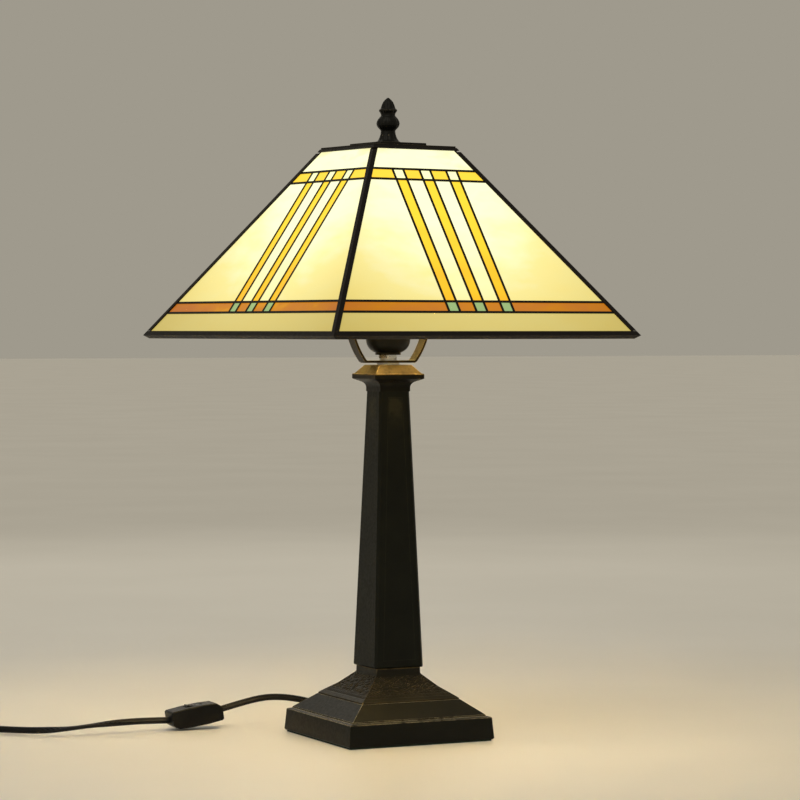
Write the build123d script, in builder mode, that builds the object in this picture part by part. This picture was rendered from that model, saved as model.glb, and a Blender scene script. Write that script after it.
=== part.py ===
from build123d import *
import os
from math import acos, atan2, cos, hypot, pi, radians, sin, tan

# Square leaded-glass table lamp: cast base and tapered column, threaded lamp pipe, flat-strip harp,
# E27 socket and bulb, four-sided glass shade on a swivel stud under a screwed finial, and a flat
# two-core lead with an in-line rocker switch, a tied coil and a two-blade plug.
# Frame: origin at the centre of the underside, +Z up, the base's front face towards -Y. Millimetres.

os.makedirs("parts", exist_ok=True)

# ---- driving dimensions ------------------------------------------------------------------------

# base and column: half-widths of square sections, with their heights
FELT = 1.2
PLINTH_FOOT, PLINTH_EDGE, PLINTH_EDGE_Z = 66.4, 65.0, 19.4
LEDGE, LEDGE_Z = 61.0, 20.4
PLINTH_TOP, PLINTH_TOP_Z = 45.2, 33.6
PLINTH_WALL = 5.4
CANOPY_FOOT = 44.6
NECK, NECK_Z = 20.2, 53.7
COLUMN_FOOT, COLUMN_FOOT_Z = 22.5, 59.6
COLUMN_TOP, COLUMN_TOP_Z = 13.9, 291.0
COLUMN_CORNER = 2.0
PANEL_BORDER, PANEL_DEPTH = 7.5, 1.0
PANEL_BOTTOM_Z, PANEL_TOP_Z = 66.0, 286.0
CAPITAL_PLATE, CAPITAL_PLATE_Z, CAPITAL_PLATE_TOP_Z = 22.8, 301.6, 305.8
CAPITAL_TOP, CAPITAL_TOP_Z = 14.7, 313.2

# lamp pipe, M10
PIPE_R, PIPE_BORE_R = 5.0, 3.8
PIPE_BOTTOM_Z, PIPE_TOP_Z = 34.0, 327.0
PIPE_HOLE_R = 5.2
NUT_FLATS = 14.5

# harp: one flat strip bent into a loop in the XZ plane
HARP_BOTTOM_Z, HARP_TOP_Z = 314.9, 489.0
STRIP_WIDTH, STRIP_THICK = 12.0, 2.0

# socket and bulb, E27
SOCKET_R = 18.6
SOCKET_FLANGE_Z, SOCKET_SEAM_Z, SOCKET_LIP_Z = 321.6, 341.0, 378.5
BULB_CONTACT_Z = 350.0
BULB_CAP_R, BULB_CAP_Z, BULB_CAP_TOP_Z = 13.2, 352.6, 376.6
GLOBE_R, GLOBE_Z = 30.0, 428.0

# swivel stud, quarter-inch finial thread, and finial
STUD_R, STUD_TOP_Z = 3.15, 508.5
COLLAR_R = 8.0
FINIAL_Z, FINIAL_HEIGHT = 499.15, 38.5

# shade: a square pyramid frustum whose four ridges run from SHADE_BOTTOM to SHADE_TOP half-widths
SHADE_TURN = 8.1
SHADE_BOTTOM, SHADE_BOTTOM_Z = 149.4, 339.5
SHADE_TOP, SHADE_TOP_Z = 39.9, 496.0
FLANGE_THICK, GLASS_THICK, GLASS_PLAY = 0.5, 2.4, 0.1
FLANGE_HALF, WEB_HALF = 1.0, 0.5
HEART = 2.6
CORNER_FLANGE, CORNER_PROUD = 3.3, 0.6
RIM_DROP, RIM_RISE = 2.2, 2.3
CAP_STEP, CAP_STEP_Z, CAP_SHEET = 23.0, 499.1, 1.5

# rows of each shade side, measured up the slope from its lower edge
ROWS = {
    "bottom_band": (0.1, 21.5),
    "lower_border": (21.5, 32.0),
    "field": (32.0, 154.7),
    "upper_border": (154.7, 165.4),
    "top_band": (165.4, 187.6),
}
STRIPE_PITCH, STRIPE_WIDTH = 26.7, 10.6

# lead: flat flex, modelled as a round tube of its width
CORD = 5.6
CORD_Z = 11.0
BUSHING_TIP_Y = 86.4

# in-line switch
SWITCH_LONG, SWITCH_WIDE, SWITCH_HIGH = 46.0, 20.0, 17.0
SWITCH_CENTRE = (-130.5, 113.1, 11.9)
SWITCH_HEADING, SWITCH_TILT = 178.0, 8.5
SWITCH_WALL = 1.8
ROCKER_TILT = 8.0

# put-away coil of the lead
COIL_CENTRE = (-316.5, 241.5)
COIL_INNER, COIL_OUTER = 28.4, 38.6
COIL_FOOT_Z, COIL_HIGH = 1.0, 11.6
COIL_IN_ANGLE, COIL_OUT_ANGLE = -137.4, 154.2
TIE_THICK, TIE_WIDE = 0.8, 8.0

# plug, two flat blades
PLUG_LONG, PLUG_WIDE, PLUG_THICK = 34.0, 25.0, 14.0
BLADE_LONG, BLADE_WIDE, BLADE_THICK, BLADE_PITCH = 16.0, 6.35, 1.5, 12.7

# ---- helpers -----------------------------------------------------------------------------------


def save(piece, node):
    """Label a finished piece and write it as its own STEP file."""
    piece.part.label = node
    export_step(piece.part, f"parts/{node}.step")


def square_levels(levels):
    """Straight-sided solid through centred squares, given as (half-width, height) pairs."""
    with BuildPart() as stack:
        for half, height in levels:
            with BuildSketch(Plane.XY.offset(height)):
                Rectangle(2 * half, 2 * half)
        loft(ruled=True)
    return stack.part


def column_half(height):
    """Half-width of the tapered column's face at a height."""
    share = (height - COLUMN_FOOT_Z) / (COLUMN_TOP_Z - COLUMN_FOOT_Z)
    return COLUMN_FOOT + share * (COLUMN_TOP - COLUMN_FOOT)


def ring(low, high, outer, inner):
    """Turned ring about the lamp's axis, from one height to another."""
    with BuildPart() as turned:
        with BuildSketch(Plane.XY.offset(low)):
            Circle(outer)
            Circle(inner, mode=Mode.SUBTRACT)
        extrude(amount=high - low)
    return turned


def corner_radii(route):
    """Radius at each inner point of a route: as large as its two runs allow."""
    points = [Vector(*point) for point in route]
    radii = []
    for before, here, after in zip(points, points[1:], points[2:]):
        half_turn = radians((here - before).get_angle(after - here)) / 2
        shorter = min((here - before).length, (after - here).length)
        radii.append(0.45 * shorter / tan(half_turn))
    return radii


def tube(route, radius, name):
    """Round tube along straight runs joined by tangent arcs."""
    radii = corner_radii(route)
    with BuildPart() as run:
        with BuildLine() as path:
            FilletPolyline(*route, radius=radii)
        with BuildSketch(Plane(origin=path.line @ 0, z_dir=path.line % 0)):
            Circle(radius)
        sweep()
    length = sum(edge.length for edge in path.edges())
    ratio = run.part.volume / (pi * radius**2 * length)
    bends = [round(value, 1) for value in radii]
    print(f"{name}: length {length:.1f}, volume ratio {ratio:.4f}, radii", bends)
    return run


# ---- base --------------------------------------------------------------------------------------

with BuildPart() as felt_pad:
    with BuildSketch():
        RectangleRounded(2 * (PLINTH_FOOT - 1.2), 2 * (PLINTH_FOOT - 1.2), 2)
    extrude(amount=FELT)
save(felt_pad, "felt_pad")

BOSS_R, BOSS_PITCH, BOSS_TOP_Z = 5.5, 112.0, 20.0
COVER_TOP_Z = 2.4
SCREW_R, SCREW_HEAD_R, SCREW_TIP_Z = 1.45, 2.8, 13.0

plinth_outside = square_levels([
    (PLINTH_FOOT - 1.0, FELT),
    (PLINTH_FOOT, FELT + 1.2),
    (PLINTH_EDGE, PLINTH_EDGE_Z),
    (PLINTH_EDGE - 0.7, PLINTH_EDGE_Z + 0.5),
    (LEDGE + 0.4, LEDGE_Z),
    (LEDGE, LEDGE_Z + 1.2),
    (PLINTH_TOP, PLINTH_TOP_Z),
])
plinth_cavity = square_levels([
    (PLINTH_EDGE - PLINTH_WALL + 1.2, FELT),
    (PLINTH_EDGE - PLINTH_WALL + 1.0, COVER_TOP_Z),
    (PLINTH_EDGE - PLINTH_WALL, PLINTH_EDGE_Z - 1.4),
    (PLINTH_TOP - 7.2, PLINTH_TOP_Z - 2.0),
    (PLINTH_TOP - 7.2, PLINTH_TOP_Z),
])

with BuildPart() as base_plinth:
    add(plinth_outside)
    add(plinth_cavity, mode=Mode.SUBTRACT)
    with BuildSketch(Plane.XY.offset(COVER_TOP_Z)):
        with GridLocations(BOSS_PITCH, BOSS_PITCH, 2, 2):
            Circle(BOSS_R)
    extrude(amount=BOSS_TOP_Z - COVER_TOP_Z)
    with BuildSketch(Plane.XY.offset(COVER_TOP_Z)):
        with GridLocations(BOSS_PITCH, BOSS_PITCH, 2, 2):
            Circle(SCREW_R + 0.05)
    extrude(amount=SCREW_TIP_Z - COVER_TOP_Z + 1, mode=Mode.SUBTRACT)
    with BuildSketch(Plane.XZ.offset(-(PLINTH_EDGE - PLINTH_WALL - 1))):
        with Locations((0, CORD_Z)):
            Circle(5.5)
    extrude(amount=-12, mode=Mode.SUBTRACT)
save(base_plinth, "base_plinth")

with BuildPart() as base_cover:
    with BuildSketch(Plane.XY.offset(FELT)):
        RectangleRounded(120.8, 120.8, 1)
    extrude(amount=COVER_TOP_Z - FELT)
    with Locations((0, 0, FELT)):
        with GridLocations(BOSS_PITCH, BOSS_PITCH, 2, 2):
            Cone(SCREW_HEAD_R + 0.1, SCREW_R + 0.1, COVER_TOP_Z - FELT, mode=Mode.SUBTRACT,
                 align=(Align.CENTER, Align.CENTER, Align.MIN))
save(base_cover, "base_cover")

with BuildPart() as cover_screws:
    with Locations((0, 0, FELT)):
        with GridLocations(BOSS_PITCH, BOSS_PITCH, 2, 2):
            Cone(SCREW_HEAD_R, SCREW_R, COVER_TOP_Z - FELT,
                 align=(Align.CENTER, Align.CENTER, Align.MIN))
            Cylinder(SCREW_R, SCREW_TIP_Z - FELT, align=(Align.CENTER, Align.CENTER, Align.MIN))
            Box(3.0, 0.6, 0.5, align=(Align.CENTER, Align.CENTER, Align.MIN), mode=Mode.SUBTRACT)
save(cover_screws, "cover_screws")

WEIGHT_TOP_Z = 9.2

with BuildPart() as base_weight:
    with BuildSketch(Plane.XY.offset(COVER_TOP_Z)):
        RectangleRounded(100, 100, 6)
        Circle(22, mode=Mode.SUBTRACT)
    extrude(amount=WEIGHT_TOP_Z - COVER_TOP_Z)
    chamfer(base_weight.faces().sort_by(Axis.Z)[-1].edges(), 1)
save(base_weight, "base_weight")

CANOPY_CEILING_Z = 46.5

canopy_outside = square_levels([
    (CANOPY_FOOT, PLINTH_TOP_Z),
    (CANOPY_FOOT - 0.1, PLINTH_TOP_Z + 1.2),
    (41.2, 37.2),
    (31.6, 43.8),
    (NECK + 0.5, NECK_Z),
    (NECK, NECK_Z + 0.8),
    (NECK - 0.1, COLUMN_FOOT_Z),
])
canopy_cavity = square_levels([(38.0, PLINTH_TOP_Z), (36.0, PLINTH_TOP_Z + 1.2), (21.0, CANOPY_CEILING_Z)])

with BuildPart() as base_canopy:
    add(canopy_outside)
    add(canopy_cavity, mode=Mode.SUBTRACT)
    with BuildSketch(Plane.XY.offset(CANOPY_CEILING_Z)):
        Circle(PIPE_HOLE_R)
    extrude(amount=COLUMN_FOOT_Z - CANOPY_CEILING_Z, mode=Mode.SUBTRACT)
save(base_canopy, "base_canopy")

# moulded strain relief of the lead, through the rear wall
with BuildPart() as cord_bushing:
    with BuildSketch(Plane.YZ):
        with BuildLine():
            Polyline(
                (57.5, CORD_Z), (57.5, CORD_Z + 6.6), (59.2, CORD_Z + 6.6), (59.2, CORD_Z + 5.4),
                (66.5, CORD_Z + 5.4), (66.5, CORD_Z + 7.6), (68.3, CORD_Z + 7.6),
                (68.9, CORD_Z + 6.4), (BUSHING_TIP_Y, CORD_Z + 3.9), (BUSHING_TIP_Y, CORD_Z),
                close=True,
            )
        make_face()
    revolve(axis=Axis((0, 0, CORD_Z), (0, 1, 0)))
    for groove in range(4):
        with BuildSketch(Plane.XZ.offset(-(71.5 + 3.6 * groove))):
            with Locations((0, CORD_Z)):
                Circle(8)
                Rectangle(16, 3.4, mode=Mode.SUBTRACT)
                Circle(3.3, mode=Mode.SUBTRACT)
        extrude(amount=-1.2, mode=Mode.SUBTRACT)
save(cord_bushing, "cord_bushing")

# ---- column and capital ------------------------------------------------------------------------

column_outside = square_levels([
    (COLUMN_FOOT - 1.0, COLUMN_FOOT_Z),
    (COLUMN_FOOT, COLUMN_FOOT_Z + 1.2),
    (COLUMN_TOP, COLUMN_TOP_Z),
])
column_cavity = square_levels([(17.5, COLUMN_FOOT_Z), (9.6, COLUMN_TOP_Z - 4.0)])

with BuildPart() as column_shaft:
    add(column_outside)
    long_edges = column_shaft.edges().filter_by(lambda edge: edge.length > 200)
    chamfer(long_edges, COLUMN_CORNER)
    for quarter in range(4):
        turn = 90 * quarter
        rows = [(PANEL_BOTTOM_Z, 0.0), (PANEL_TOP_Z, 0.0)]
        low_half, high_half = (column_half(height) for height, _ in rows)
        lean = atan2(low_half - high_half, PANEL_TOP_Z - PANEL_BOTTOM_Z)
        span = (PANEL_TOP_Z - PANEL_BOTTOM_Z) / cos(lean)
        face_plane = Plane(
            origin=Vector(0, -low_half, PANEL_BOTTOM_Z).rotate(Axis.Z, turn),
            x_dir=Vector(1, 0, 0).rotate(Axis.Z, turn),
            z_dir=Vector(0, -cos(lean), sin(lean)).rotate(Axis.Z, turn),
        )
        for inset, depth in ((0.0, 0.5), (0.8, PANEL_DEPTH)):
            low, high = low_half - PANEL_BORDER - inset, high_half - PANEL_BORDER - inset
            with BuildSketch(face_plane):
                Polygon((-low, inset), (low, inset), (high, span - inset), (-high, span - inset), align=None)
            extrude(amount=-depth, mode=Mode.SUBTRACT)
    add(column_cavity, mode=Mode.SUBTRACT)
    with BuildSketch(Plane.XY.offset(COLUMN_TOP_Z - 4.0)):
        Circle(PIPE_HOLE_R)
    extrude(amount=4.0, mode=Mode.SUBTRACT)
save(column_shaft, "column_shaft")

COVE_Z, COVE_R, COVE_SWEEP, COVE_STEPS = 294.2, 5.5, 68.0, 6

cove = []
for step in range(COVE_STEPS + 1):
    angle = radians(COVE_SWEEP * step / COVE_STEPS)
    cove.append((COLUMN_TOP + COVE_R * (1 - cos(angle)), COVE_Z + COVE_R * sin(angle)))
capital_outside = square_levels(
    [(COLUMN_TOP, COLUMN_TOP_Z)] + cove
    + [
        (CAPITAL_PLATE - 0.5, CAPITAL_PLATE_Z - 0.2),
        (CAPITAL_PLATE, CAPITAL_PLATE_Z + 0.3),
        (CAPITAL_PLATE, CAPITAL_PLATE_TOP_Z - 0.4),
        (CAPITAL_PLATE - 0.4, CAPITAL_PLATE_TOP_Z),
        (CAPITAL_PLATE - 1.6, CAPITAL_PLATE_TOP_Z + 0.2),
        (CAPITAL_TOP + 0.8, CAPITAL_TOP_Z - 0.8),
        (CAPITAL_TOP, CAPITAL_TOP_Z),
    ]
)

with BuildPart() as capital:
    add(capital_outside)
    with BuildSketch(Plane.XY.offset(COLUMN_TOP_Z)):
        Circle(PIPE_HOLE_R)
    extrude(amount=CAPITAL_TOP_Z - COLUMN_TOP_Z, mode=Mode.SUBTRACT)
save(capital, "capital")

# ---- lamp pipe, washers and nuts ---------------------------------------------------------------

save(ring(PIPE_BOTTOM_Z, PIPE_TOP_Z, PIPE_R, PIPE_BORE_R), "lamp_pipe")

HARP_FLOOR_Z = HARP_BOTTOM_Z + STRIP_THICK
WASHERS = [(44.9, CANOPY_CEILING_Z, 13.0), (CAPITAL_TOP_Z, HARP_BOTTOM_Z, 9.5), (HARP_FLOOR_Z, 318.8, 7.2)]
NUTS = [(38.9, 44.9), (318.8, SOCKET_FLANGE_Z), (323.0, 326.0)]

with BuildPart() as pipe_washers:
    for low, high, radius in WASHERS:
        with BuildSketch(Plane.XY.offset(low)):
            Circle(radius)
            Circle(PIPE_R + 0.05, mode=Mode.SUBTRACT)
        extrude(amount=high - low)
save(pipe_washers, "pipe_washers")

with BuildPart() as pipe_nuts:
    for low, high in NUTS:
        with BuildSketch(Plane.XY.offset(low)):
            RegularPolygon(NUT_FLATS / 2, 6, major_radius=False)
            Circle(PIPE_R + 0.05, mode=Mode.SUBTRACT)
        extrude(amount=high - low)
save(pipe_nuts, "pipe_nuts")

# ---- harp and swivel ---------------------------------------------------------------------------

HARP_FOOT = 22.4
HARP_BEND = (24.2, 316.0)
HARP_ARM = [(37.4, 350.0), (41.6, 400.0), (36.2, 452.0), (24.0, 480.0), (9.0, HARP_TOP_Z)]

with BuildPart() as harp:
    with BuildSketch(Plane.XZ.offset(-STRIP_WIDTH / 2)):
        with BuildLine():
            Line((0, HARP_BOTTOM_Z), (HARP_FOOT, HARP_BOTTOM_Z))
            Line((HARP_FOOT, HARP_BOTTOM_Z), HARP_BEND)
            arm = TangentArc(HARP_BEND, HARP_ARM[0], tangent=(0.75, 1.0))
            for end in HARP_ARM[1:]:
                arm = TangentArc(arm @ 1, end, tangent=arm % 1)
            Line(HARP_ARM[-1], (0, HARP_TOP_Z))
            offset(amount=STRIP_THICK, side=Side.LEFT, closed=True)
        make_face()
        mirror(about=Plane.YZ)
    extrude(amount=STRIP_WIDTH)
    for height, radius in ((HARP_BOTTOM_Z, PIPE_R + 0.1), (HARP_TOP_Z - STRIP_THICK, 2.6)):
        with BuildSketch(Plane.XY.offset(height - 1)):
            Circle(radius)
        extrude(amount=STRIP_THICK + 2, mode=Mode.SUBTRACT)
save(harp, "harp")

with BuildPart() as harp_swivel:
    with BuildSketch(Plane.XZ):
        with BuildLine():
            Polyline(
                (0, 485.2), (4.5, 485.2), (4.5, HARP_TOP_Z - STRIP_THICK - 0.1),
                (2.5, HARP_TOP_Z - STRIP_THICK - 0.1), (2.5, HARP_TOP_Z + 0.1),
                (COLLAR_R - 0.4, HARP_TOP_Z + 0.1),
                (COLLAR_R, HARP_TOP_Z + 0.5), (COLLAR_R, CAP_STEP_Z - CAP_SHEET - 0.1),
                (STUD_R, CAP_STEP_Z - CAP_SHEET - 0.1), (STUD_R, STUD_TOP_Z - 0.6),
                (STUD_R - 0.6, STUD_TOP_Z), (0, STUD_TOP_Z),
                close=True,
            )
        make_face()
    revolve(axis=Axis.Z)
save(harp_swivel, "harp_swivel")

# ---- socket ------------------------------------------------------------------------------------

CORE_BOTTOM_Z, CORE_TOP_Z = 334.0, 346.0

with BuildPart() as socket_cap:
    with BuildSketch(Plane.XZ):
        with BuildLine():
            Line((PIPE_R + 0.05, SOCKET_FLANGE_Z), (10.8, SOCKET_FLANGE_Z))
            Line((10.8, SOCKET_FLANGE_Z), (10.8, 323.0))
            Line((10.8, 323.0), (10.2, 323.3))
            ThreePointArc((10.2, 323.3), (16.2, 327.4), (SOCKET_R, 335.0))
            Line((SOCKET_R, 335.0), (SOCKET_R, SOCKET_SEAM_Z))
            Line((SOCKET_R, SOCKET_SEAM_Z), (SOCKET_R - 1.0, SOCKET_SEAM_Z))
            Line((SOCKET_R - 1.0, SOCKET_SEAM_Z), (SOCKET_R - 1.0, 335.2))
            ThreePointArc((SOCKET_R - 1.0, 335.2), (15.3, 328.0), (9.6, 323.0))
            Line((9.6, 323.0), (PIPE_R + 0.05, 323.0))
            Line((PIPE_R + 0.05, 323.0), (PIPE_R + 0.05, SOCKET_FLANGE_Z))
        make_face()
    revolve(axis=Axis.Z)
save(socket_cap, "socket_cap")

with BuildPart() as socket_shell:
    with BuildSketch(Plane.XZ):
        with BuildLine():
            Polyline(
                (16.7, 336.0), (17.5, 336.0), (17.5, SOCKET_SEAM_Z + 0.1), (SOCKET_R, SOCKET_SEAM_Z + 0.1),
                (SOCKET_R, SOCKET_LIP_Z - 2.4), (SOCKET_R + 0.8, SOCKET_LIP_Z - 1.8),
                (SOCKET_R + 0.8, SOCKET_LIP_Z - 0.6), (SOCKET_R + 0.2, SOCKET_LIP_Z),
                (17.6, SOCKET_LIP_Z), (17.6, SOCKET_SEAM_Z + 1.2), (16.7, SOCKET_SEAM_Z + 1.2),
                close=True,
            )
        make_face()
    revolve(axis=Axis.Z)
save(socket_shell, "socket_shell")

with BuildPart() as socket_core:
    with BuildSketch(Plane.XY.offset(CORE_BOTTOM_Z)):
        Circle(16.4)
    extrude(amount=CORE_TOP_Z - CORE_BOTTOM_Z)
    chamfer(socket_core.edges(), 0.6)
    with BuildSketch(Plane.XY.offset(CORE_BOTTOM_Z)):
        Rectangle(7, 40)
    extrude(amount=3, mode=Mode.SUBTRACT)
save(socket_core, "socket_core")

save(ring(CORE_TOP_Z + 0.1, 377.0, 16.4, 15.4), "socket_liner")

with BuildPart() as socket_screw_shell:
    with BuildSketch(Plane.XZ):
        with BuildLine():
            Polyline(
                (8.0, CORE_TOP_Z + 0.1), (14.6, CORE_TOP_Z + 0.1), (14.6, 374.0), (13.9, 374.0),
                (13.9, CORE_TOP_Z + 0.8), (8.0, CORE_TOP_Z + 0.8),
                close=True,
            )
        make_face()
    revolve(axis=Axis.Z)
save(socket_screw_shell, "socket_screw_shell")

with BuildPart() as socket_contact:
    with BuildSketch(Plane.XZ):
        with BuildLine():
            Polyline(
                (-6.5, CORE_TOP_Z + 0.05), (-2.0, CORE_TOP_Z + 0.05), (1.6, BULB_CONTACT_Z - 0.6),
                (3.4, BULB_CONTACT_Z - 0.6), (3.4, BULB_CONTACT_Z - 0.1), (1.3, BULB_CONTACT_Z - 0.1),
                (-2.3, CORE_TOP_Z + 0.55), (-6.5, CORE_TOP_Z + 0.55),
                close=True,
            )
        make_face()
    extrude(amount=2.2, both=True)
save(socket_contact, "socket_contact")

TERMINAL_X = 10.0

with BuildPart() as terminal_screws:
    for hand in (-1, 1):
        with Locations((hand * TERMINAL_X, 0, CORE_BOTTOM_Z)):
            Cylinder(2.6, 1.6, align=(Align.CENTER, Align.CENTER, Align.MAX))
        with Locations((hand * TERMINAL_X, 0, CORE_BOTTOM_Z - 1.6)):
            Box(6, 0.7, 0.6, align=(Align.CENTER, Align.CENTER, Align.MIN), mode=Mode.SUBTRACT)
save(terminal_screws, "terminal_screws")

# two insulated leads from the bushing, up the pipe, to the terminals
LEAD_R = 1.0

with BuildPart() as lead_wires:
    for hand in (-1, 1):
        x = 1.4 * hand
        route = [
            (x, 57.4, CORD_Z), (x, 0, CORD_Z), (x, 0, PIPE_TOP_Z + 1.4), (TERMINAL_X * hand, 0, 329.8),
            (TERMINAL_X * hand, 0, CORE_BOTTOM_Z - 1.8),
        ]
        with BuildLine() as path:
            FilletPolyline(*route, radius=[12.0, 1.3, 1.1])
        with BuildSketch(Plane(origin=path.line @ 0, z_dir=path.line % 0)):
            Circle(LEAD_R)
        sweep(path=path.line)
save(lead_wires, "lead_wires")

# ---- bulb --------------------------------------------------------------------------------------


def globe_outline(wall):
    """Half-section of the bulb's glass: neck, shoulder and globe, moved inwards by wall."""
    radius = GLOBE_R - wall
    neck = 12.6 - wall
    join = radians(-38)
    shoulder = (radius * cos(join), GLOBE_Z + radius * sin(join))
    Line((0, 368.0 + wall), (neck, 368.0 + wall))
    Line((neck, 368.0 + wall), (neck, BULB_CAP_TOP_Z + 0.6))
    Spline((neck, BULB_CAP_TOP_Z + 0.6), (neck + 3.4, 391.0), shoulder,
           tangents=[(0, 1), (-sin(join), cos(join))])
    ThreePointArc(shoulder, (radius * cos(radians(30)), GLOBE_Z + radius * sin(radians(30))),
                  (0, GLOBE_Z + radius))
    Line((0, GLOBE_Z + radius), (0, 368.0 + wall))


with BuildPart() as bulb_envelope:
    with BuildSketch(Plane.XZ):
        with BuildLine():
            globe_outline(0)
        make_face()
    revolve(axis=Axis.Z)
    with BuildSketch(Plane.XZ):
        with BuildLine():
            globe_outline(1.0)
        make_face()
    revolve(axis=Axis.Z, mode=Mode.SUBTRACT)
    with BuildSketch(Plane.XY.offset(367.0)):
        Circle(6.0)
    extrude(amount=3.0, mode=Mode.SUBTRACT)
save(bulb_envelope, "bulb_envelope")

with BuildPart() as bulb_cap:
    with BuildSketch(Plane.XZ):
        with BuildLine():
            Polyline(
                (9.2, BULB_CAP_Z), (11.4, BULB_CAP_Z), (BULB_CAP_R, BULB_CAP_Z + 2.4),
                (BULB_CAP_R, BULB_CAP_TOP_Z), (BULB_CAP_R - 0.5, BULB_CAP_TOP_Z),
                (BULB_CAP_R - 0.5, BULB_CAP_Z + 2.6), (11.2, BULB_CAP_Z + 0.5), (9.2, BULB_CAP_Z + 0.5),
                close=True,
            )
        make_face()
    revolve(axis=Axis.Z)
save(bulb_cap, "bulb_cap")

with BuildPart() as bulb_insulator:
    with BuildSketch(Plane.XZ):
        with BuildLine():
            Polyline((0, 350.9), (5.2, 350.9), (9.1, BULB_CAP_Z), (9.1, BULB_CAP_Z + 1.2),
                     (0, BULB_CAP_Z + 1.2),
                     close=True)
        make_face()
    revolve(axis=Axis.Z)
save(bulb_insulator, "bulb_insulator")

with BuildPart() as bulb_contact:
    with BuildSketch(Plane.XZ):
        with BuildLine():
            Polyline((0, BULB_CONTACT_Z), (3.4, BULB_CONTACT_Z), (4.8, 350.8), (0, 350.8), close=True)
        make_face()
    revolve(axis=Axis.Z)
save(bulb_contact, "bulb_contact")

STEM_TOP_Z, FILAMENT_Z = 402.0, 426.0

with BuildPart() as bulb_stem:
    with BuildSketch(Plane.XZ):
        with BuildLine():
            Polyline((0, 366.0), (5.6, 366.0), (5.6, 371.0), (3.4, 378.0), (3.0, 397.0),
                     (4.6, STEM_TOP_Z - 2.0),
                     (4.0, STEM_TOP_Z), (0, STEM_TOP_Z), close=True)
        make_face()
    revolve(axis=Axis.Z)
save(bulb_stem, "bulb_stem")

with BuildPart() as bulb_filament:
    with BuildLine() as path:
        FilletPolyline((-2.4, 0, STEM_TOP_Z), (-9.5, 0, FILAMENT_Z), (0, 4.5, FILAMENT_Z + 2.5),
                       (9.5, 0, FILAMENT_Z), (2.4, 0, STEM_TOP_Z), radius=2.0)
    with BuildSketch(Plane(origin=path.line @ 0, z_dir=path.line % 0)):
        Circle(0.45)
    sweep()
save(bulb_filament, "bulb_filament")

# ---- shade -------------------------------------------------------------------------------------

RISE = SHADE_TOP_Z - SHADE_BOTTOM_Z
SLANT = hypot(RISE, SHADE_BOTTOM - SHADE_TOP)
SLOPE = atan2(RISE, SHADE_BOTTOM - SHADE_TOP)
EDGE_LEAN = atan2(SHADE_BOTTOM - SHADE_TOP, SLANT)
WALL = 2 * FLANGE_THICK + 2 * GLASS_PLAY + GLASS_THICK
FRONT_SIDE = Plane(
    origin=(0, -SHADE_BOTTOM, SHADE_BOTTOM_Z), x_dir=(1, 0, 0), z_dir=(0, -sin(SLOPE), cos(SLOPE)))

stripe_lines = [centre * STRIPE_PITCH + hand * STRIPE_WIDTH / 2 for centre in (-1, 0, 1) for hand in (-1, 1)]
columns = list(zip([None] + stripe_lines, stripe_lines + [None]))
backgrounds, stripes = columns[0::2], columns[1::2]
GLASS = {
    "glass_bottom_band": ("bottom_band", [(None, None)]),
    "glass_lower_border": ("lower_border", backgrounds),
    "glass_lower_squares": ("lower_border", stripes),
    "glass_field": ("field", [backgrounds[0], backgrounds[-1]]),
    "glass_stripes_cream": ("field", backgrounds[1:-1]),
    "glass_stripes_amber": ("field", stripes),
    "glass_upper_border": ("upper_border", backgrounds),
    "glass_upper_squares": ("upper_border", stripes),
    "glass_top_band": ("top_band", [(None, None)]),
}


def edge_half(up, inset):
    """Half-width of a side's leaded area at a height up the slope, inset mm inside its slanted edge."""
    return SHADE_BOTTOM - up * tan(EDGE_LEAN) - (HEART + inset) / cos(EDGE_LEAN)


def pane_outline(row, pane, inset):
    """Corners of a pane, drawn inset mm inside the centre lines of the cames round it."""
    low, high = ROWS[row][0] + inset, ROWS[row][1] - inset
    left, right = pane

    def across(line, up, hand):
        return hand * edge_half(up, inset) if line is None else line - hand * inset

    return [(across(left, low, -1), low), (across(right, low, 1), low),
            (across(right, high, 1), high), (across(left, high, -1), high)]


# one lattice of H-section cames per side: outer flange, web and inner flange in turn
LATTICE_LAYERS = [
    (0.0, FLANGE_THICK, FLANGE_HALF),
    (-FLANGE_THICK, WALL - 2 * FLANGE_THICK, WEB_HALF),
    (-(WALL - FLANGE_THICK), FLANGE_THICK, FLANGE_HALF),
]
slab_bottom, slab_top = ROWS["bottom_band"][0], ROWS["top_band"][1]

with BuildPart() as lattice:
    for lift, thickness, inset in LATTICE_LAYERS:
        with BuildSketch(FRONT_SIDE.offset(lift)):
            Polygon((-edge_half(slab_bottom, 0), slab_bottom), (edge_half(slab_bottom, 0), slab_bottom),
                    (edge_half(slab_top, 0), slab_top), (-edge_half(slab_top, 0), slab_top), align=None)
            for row, panes in GLASS.values():
                for pane in panes:
                    Polygon(*pane_outline(row, pane, inset), align=None, mode=Mode.SUBTRACT)
        extrude(amount=-thickness)

for quarter, side_name in enumerate(("front", "right", "back", "left")):
    with BuildPart() as side_cames:
        with Locations(Location((0, 0, 0), (0, 0, SHADE_TURN + 90 * quarter))):
            add(lattice.part)
    save(side_cames, f"cames_{side_name}")

for node, (row, panes) in GLASS.items():
    with BuildPart() as front_panes:
        with BuildSketch(FRONT_SIDE.offset(-(FLANGE_THICK + GLASS_PLAY))):
            for pane in panes:
                Polygon(*pane_outline(row, pane, WEB_HALF + GLASS_PLAY), align=None)
        extrude(amount=-GLASS_THICK)
    with BuildPart() as glass:
        with PolarLocations(0, 4, start_angle=SHADE_TURN):
            add(front_panes.part)
    save(glass, node)

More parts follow.
